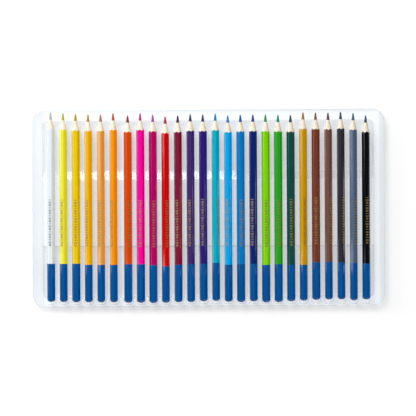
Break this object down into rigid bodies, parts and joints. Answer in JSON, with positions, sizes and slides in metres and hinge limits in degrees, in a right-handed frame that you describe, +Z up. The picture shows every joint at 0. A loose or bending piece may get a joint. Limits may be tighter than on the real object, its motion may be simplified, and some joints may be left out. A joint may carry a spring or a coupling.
{
  "type": "pencil tray of a mixed media art set",
  "caption": "Clear moulded insert tray with slots across a support bar, holding hexagonal watercolour pencils side by side; each pencil lifts out.",
  "frame": {"origin": "centre of the tray's footprint, on the surface that it stands on", "axes": "+X along the row of pencils, from white to black; +Y along the pencils toward their sharpened tips; +Z up, the way that a pencil lifts out"},
  "size_m": [0.334, 0.187, 0.0168],
  "materials": {
    "clear_sheet": "clear thermoformed plastic sheet, smooth and glossy, faintly blue",
    "lacquer_white": "gloss white lacquer on wood, bare wood at the sharpened cone, dipped blue round end",
    "core_white": "white watercolour core, satin where it is sharpened",
    "lacquer_lemon": "gloss lemon lacquer on wood, bare wood at the sharpened cone, dipped blue round end",
    "core_lemon": "lemon watercolour core, satin where it is sharpened",
    "lacquer_yellow": "gloss yellow lacquer on wood, bare wood at the sharpened cone, dipped blue round end",
    "core_yellow": "yellow watercolour core, satin where it is sharpened",
    "lacquer_golden": "gloss golden lacquer on wood, bare wood at the sharpened cone, dipped blue round end",
    "core_golden": "golden watercolour core, satin where it is sharpened",
    "lacquer_apricot": "gloss apricot lacquer on wood, bare wood at the sharpened cone, dipped blue round end",
    "core_apricot": "apricot watercolour core, satin where it is sharpened",
    "lacquer_orange_yellow": "gloss orange yellow lacquer on wood, bare wood at the sharpened cone, dipped blue round end",
    "core_orange_yellow": "orange yellow watercolour core, satin where it is sharpened",
    "lacquer_orange_red": "gloss orange red lacquer on wood, bare wood at the sharpened cone, dipped blue round end",
    "core_orange_red": "orange red watercolour core, satin where it is sharpened",
    "lacquer_hot_pink": "gloss hot pink lacquer on wood, bare wood at the sharpened cone, dipped blue round end",
    "core_hot_pink": "hot pink watercolour core, satin where it is sharpened",
    "lacquer_magenta": "gloss magenta lacquer on wood, bare wood at the sharpened cone, dipped blue round end",
    "core_magenta": "magenta watercolour core, satin where it is sharpened",
    "lacquer_red": "gloss red lacquer on wood, bare wood at the sharpened cone, dipped blue round end",
    "core_red": "red watercolour core, satin where it is sharpened",
    "lacquer_maroon": "gloss maroon lacquer on wood, bare wood at the sharpened cone, dipped blue round end",
    "core_maroon": "maroon watercolour core, satin where it is sharpened",
    "lacquer_violet": "gloss violet lacquer on wood, bare wood at the sharpened cone, dipped blue round end",
    "core_violet": "violet watercolour core, satin where it is sharpened",
    "lacquer_indigo": "gloss indigo lacquer on wood, bare wood at the sharpened cone, dipped blue round end",
    "core_indigo": "indigo watercolour core, satin where it is sharpened",
    "lacquer_turquoise": "gloss turquoise lacquer on wood, bare wood at the sharpened cone, dipped blue round end",
    "core_turquoise": "turquoise watercolour core, satin where it is sharpened",
    "lacquer_light_blue": "gloss light blue lacquer on wood, bare wood at the sharpened cone, dipped blue round end",
    "core_light_blue": "light blue watercolour core, satin where it is sharpened",
    "lacquer_blue": "gloss blue lacquer on wood, bare wood at the sharpened cone, dipped blue round end",
    "core_blue": "blue watercolour core, satin where it is sharpened",
    "lacquer_navy": "gloss navy lacquer on wood, bare wood at the sharpened cone, dipped blue round end",
    "core_navy": "navy watercolour core, satin where it is sharpened",
    "lacquer_lime": "gloss lime lacquer on wood, bare wood at the sharpened cone, dipped blue round end",
    "core_lime": "lime watercolour core, satin where it is sharpened",
    "lacquer_green": "gloss green lacquer on wood, bare wood at the sharpened cone, dipped blue round end",
    "core_green": "green watercolour core, satin where it is sharpened",
    "lacquer_dark_green": "gloss dark green lacquer on wood, bare wood at the sharpened cone, dipped blue round end",
    "core_dark_green": "dark green watercolour core, satin where it is sharpened",
    "lacquer_ochre": "gloss ochre lacquer on wood, bare wood at the sharpened cone, dipped blue round end",
    "core_ochre": "ochre watercolour core, satin where it is sharpened",
    "lacquer_red_brown": "gloss red brown lacquer on wood, bare wood at the sharpened cone, dipped blue round end",
    "core_red_brown": "red brown watercolour core, satin where it is sharpened",
    "lacquer_brown": "gloss brown lacquer on wood, bare wood at the sharpened cone, dipped blue round end",
    "core_brown": "brown watercolour core, satin where it is sharpened",
    "lacquer_black_brown": "gloss black brown lacquer on wood, bare wood at the sharpened cone, dipped blue round end",
    "core_black_brown": "black brown watercolour core, satin where it is sharpened",
    "lacquer_slate": "gloss slate lacquer on wood, bare wood at the sharpened cone, dipped blue round end",
    "core_slate": "slate watercolour core, satin where it is sharpened",
    "lacquer_black": "gloss black lacquer on wood, bare wood at the sharpened cone, dipped blue round end",
    "core_black": "black watercolour core, satin where it is sharpened"
  },
  "bodies": {
    "tray": {"tray": "clear_sheet"},
    "pencil_white": {"casing_white": "lacquer_white", "lead_white": "core_white"},
    "pencil_lemon": {"casing_lemon": "lacquer_lemon", "lead_lemon": "core_lemon"},
    "pencil_yellow": {"casing_yellow": "lacquer_yellow", "lead_yellow": "core_yellow"},
    "pencil_golden": {"casing_golden": "lacquer_golden", "lead_golden": "core_golden"},
    "pencil_apricot": {"casing_apricot": "lacquer_apricot", "lead_apricot": "core_apricot"},
    "pencil_orange_yellow": {"casing_orange_yellow": "lacquer_orange_yellow", "lead_orange_yellow": "core_orange_yellow"},
    "pencil_orange_red": {"casing_orange_red": "lacquer_orange_red", "lead_orange_red": "core_orange_red"},
    "pencil_hot_pink": {"casing_hot_pink": "lacquer_hot_pink", "lead_hot_pink": "core_hot_pink"},
    "pencil_magenta": {"casing_magenta": "lacquer_magenta", "lead_magenta": "core_magenta"},
    "pencil_red": {"casing_red": "lacquer_red", "lead_red": "core_red"},
    "pencil_maroon": {"casing_maroon": "lacquer_maroon", "lead_maroon": "core_maroon"},
    "pencil_violet": {"casing_violet": "lacquer_violet", "lead_violet": "core_violet"},
    "pencil_indigo": {"casing_indigo": "lacquer_indigo", "lead_indigo": "core_indigo"},
    "pencil_turquoise": {"casing_turquoise": "lacquer_turquoise", "lead_turquoise": "core_turquoise"},
    "pencil_light_blue": {"casing_light_blue": "lacquer_light_blue", "lead_light_blue": "core_light_blue"},
    "pencil_blue": {"casing_blue": "lacquer_blue", "lead_blue": "core_blue"},
    "pencil_navy": {"casing_navy": "lacquer_navy", "lead_navy": "core_navy"},
    "pencil_lime": {"casing_lime": "lacquer_lime", "lead_lime": "core_lime"},
    "pencil_green": {"casing_green": "lacquer_green", "lead_green": "core_green"},
    "pencil_dark_green": {"casing_dark_green": "lacquer_dark_green", "lead_dark_green": "core_dark_green"},
    "pencil_ochre": {"casing_ochre": "lacquer_ochre", "lead_ochre": "core_ochre"},
    "pencil_red_brown": {"casing_red_brown": "lacquer_red_brown", "lead_red_brown": "core_red_brown"},
    "pencil_brown": {"casing_brown": "lacquer_brown", "lead_brown": "core_brown"},
    "pencil_black_brown": {"casing_black_brown": "lacquer_black_brown", "lead_black_brown": "core_black_brown"},
    "pencil_slate": {"casing_slate": "lacquer_slate", "lead_slate": "core_slate"},
    "pencil_black": {"casing_black": "lacquer_black", "lead_black": "core_black"}
  },
  "joints": [
    {"name": "lift_white", "type": "slide", "parent": "tray", "child": "pencil_white", "axis": [0, 0, 1], "range_m": [0, 0.03]},
    {"name": "lift_lemon", "type": "slide", "parent": "tray", "child": "pencil_lemon", "axis": [0, 0, 1], "range_m": [0, 0.03]},
    {"name": "lift_yellow", "type": "slide", "parent": "tray", "child": "pencil_yellow", "axis": [0, 0, 1], "range_m": [0, 0.03]},
    {"name": "lift_golden", "type": "slide", "parent": "tray", "child": "pencil_golden", "axis": [0, 0, 1], "range_m": [0, 0.03]},
    {"name": "lift_apricot", "type": "slide", "parent": "tray", "child": "pencil_apricot", "axis": [0, 0, 1], "range_m": [0, 0.03]},
    {"name": "lift_orange_yellow", "type": "slide", "parent": "tray", "child": "pencil_orange_yellow", "axis": [0, 0, 1], "range_m": [0, 0.03]},
    {"name": "lift_orange_red", "type": "slide", "parent": "tray", "child": "pencil_orange_red", "axis": [0, 0, 1], "range_m": [0, 0.03]},
    {"name": "lift_hot_pink", "type": "slide", "parent": "tray", "child": "pencil_hot_pink", "axis": [0, 0, 1], "range_m": [0, 0.03]},
    {"name": "lift_magenta", "type": "slide", "parent": "tray", "child": "pencil_magenta", "axis": [0, 0, 1], "range_m": [0, 0.03]},
    {"name": "lift_red", "type": "slide", "parent": "tray", "child": "pencil_red", "axis": [0, 0, 1], "range_m": [0, 0.03]},
    {"name": "lift_maroon", "type": "slide", "parent": "tray", "child": "pencil_maroon", "axis": [0, 0, 1], "range_m": [0, 0.03]},
    {"name": "lift_violet", "type": "slide", "parent": "tray", "child": "pencil_violet", "axis": [0, 0, 1], "range_m": [0, 0.03]},
    {"name": "lift_indigo", "type": "slide", "parent": "tray", "child": "pencil_indigo", "axis": [0, 0, 1], "range_m": [0, 0.03]},
    {"name": "lift_turquoise", "type": "slide", "parent": "tray", "child": "pencil_turquoise", "axis": [0, 0, 1], "range_m": [0, 0.03]},
    {"name": "lift_light_blue", "type": "slide", "parent": "tray", "child": "pencil_light_blue", "axis": [0, 0, 1], "range_m": [0, 0.03]},
    {"name": "lift_blue", "type": "slide", "parent": "tray", "child": "pencil_blue", "axis": [0, 0, 1], "range_m": [0, 0.03]},
    {"name": "lift_navy", "type": "slide", "parent": "tray", "child": "pencil_navy", "axis": [0, 0, 1], "range_m": [0, 0.03]},
    {"name": "lift_lime", "type": "slide", "parent": "tray", "child": "pencil_lime", "axis": [0, 0, 1], "range_m": [0, 0.03]},
    {"name": "lift_green", "type": "slide", "parent": "tray", "child": "pencil_green", "axis": [0, 0, 1], "range_m": [0, 0.03]},
    {"name": "lift_dark_green", "type": "slide", "parent": "tray", "child": "pencil_dark_green", "axis": [0, 0, 1], "range_m": [0, 0.03]},
    {"name": "lift_ochre", "type": "slide", "parent": "tray", "child": "pencil_ochre", "axis": [0, 0, 1], "range_m": [0, 0.03]},
    {"name": "lift_red_brown", "type": "slide", "parent": "tray", "child": "pencil_red_brown", "axis": [0, 0, 1], "range_m": [0, 0.03]},
    {"name": "lift_brown", "type": "slide", "parent": "tray", "child": "pencil_brown", "axis": [0, 0, 1], "range_m": [0, 0.03]},
    {"name": "lift_black_brown", "type": "slide", "parent": "tray", "child": "pencil_black_brown", "axis": [0, 0, 1], "range_m": [0, 0.03]},
    {"name": "lift_slate", "type": "slide", "parent": "tray", "child": "pencil_slate", "axis": [0, 0, 1], "range_m": [0, 0.03]},
    {"name": "lift_black", "type": "slide", "parent": "tray", "child": "pencil_black", "axis": [0, 0, 1], "range_m": [0, 0.03]}
  ]
}
